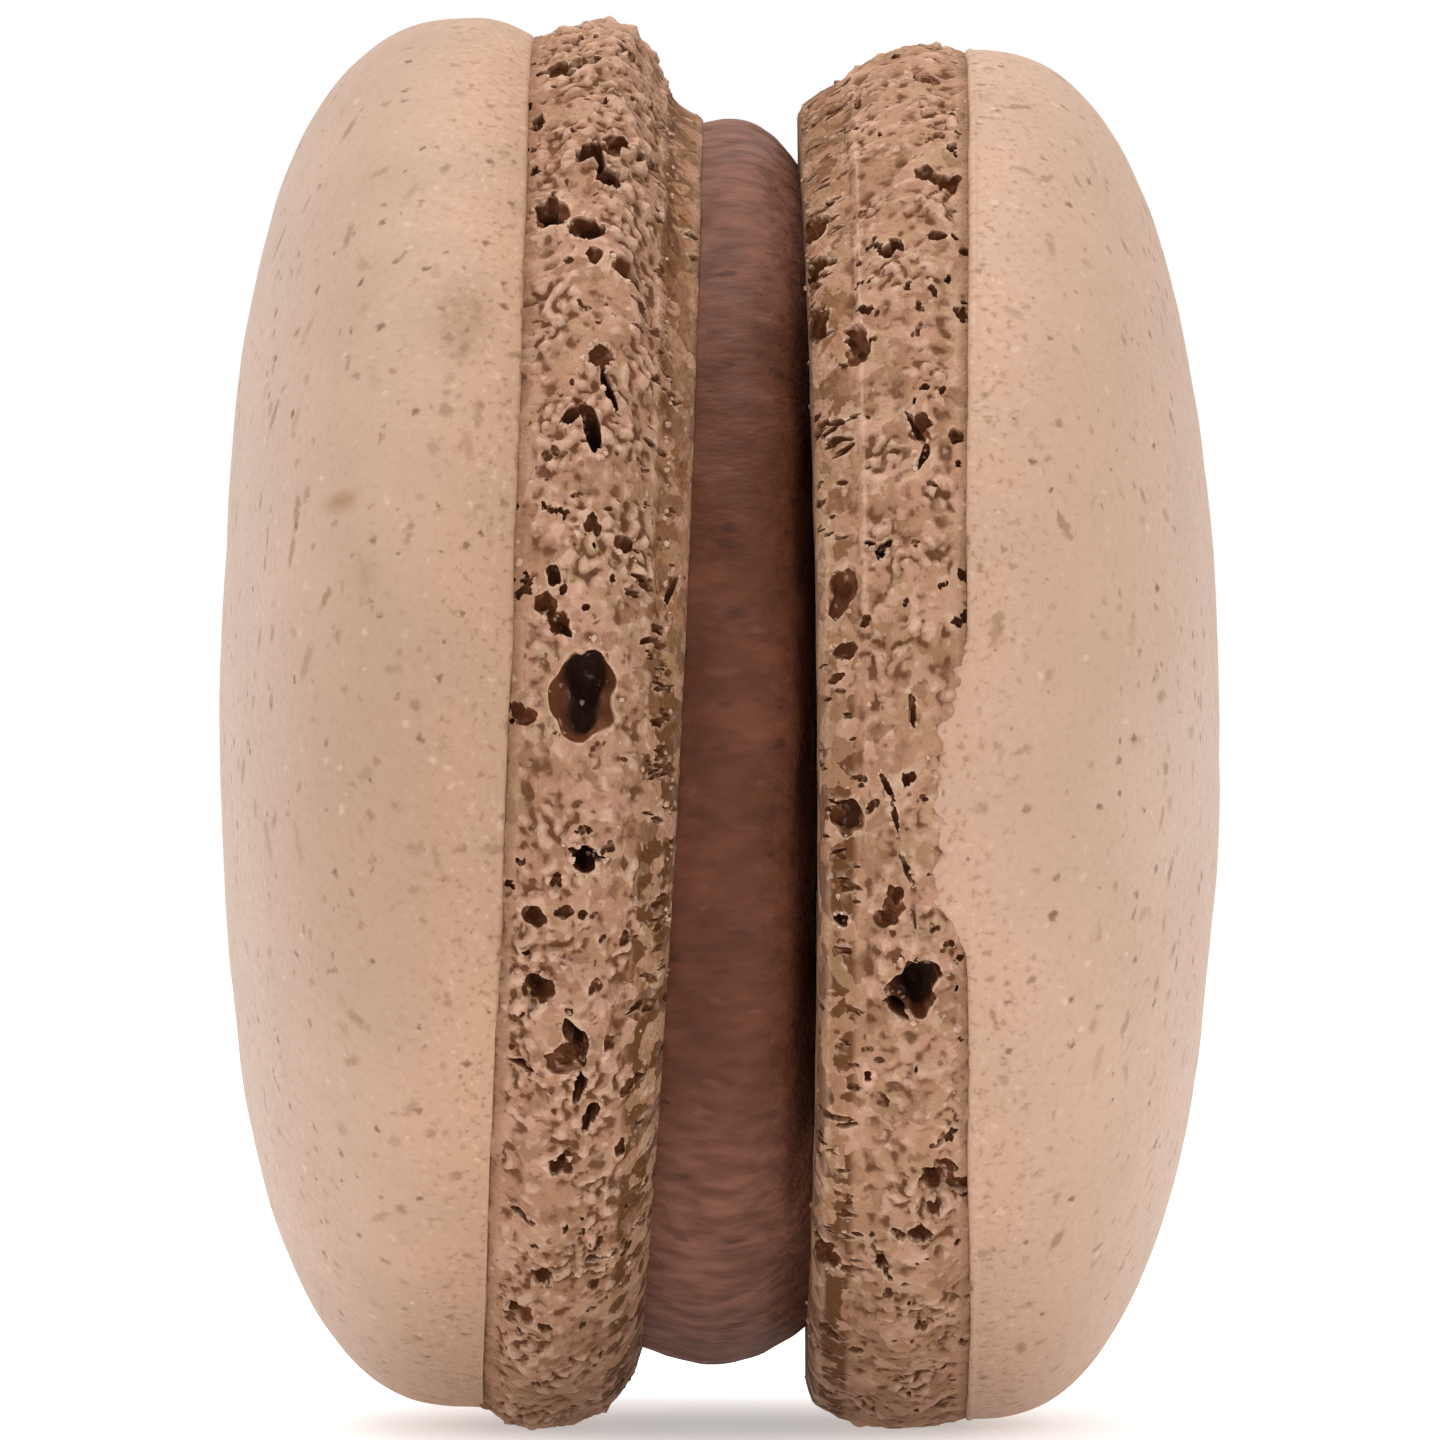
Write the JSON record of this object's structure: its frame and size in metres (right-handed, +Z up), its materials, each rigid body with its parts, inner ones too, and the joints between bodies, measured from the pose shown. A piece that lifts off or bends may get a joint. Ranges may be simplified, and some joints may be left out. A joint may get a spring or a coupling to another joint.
{
  "type": "chocolate macaron",
  "caption": "Round almond biscuit sandwich stood on its edge: smooth domed shells with crumbly feet, held together by a disc of chocolate filling",
  "frame": {"origin": "middle of the bounding box in plan, at the height of the surface that the macaron stands on", "axes": "X runs through the sandwich from the left shell to the right shell, Z is up, and -Y faces the viewer of the picture, who sees both feet and the filling edge on"},
  "size_m": [0.0318, 0.0454, 0.0451],
  "materials": {
    "baked_shell": "matte pale cocoa-tan biscuit, satin skin on the dome and rough crumb on the foot",
    "chocolate_filling": "satin chocolate cream"
  },
  "bodies": {
    "root": {"left_shell": "baked_shell", "filling": "chocolate_filling", "right_shell": "baked_shell"}
  },
  "joints": []
}
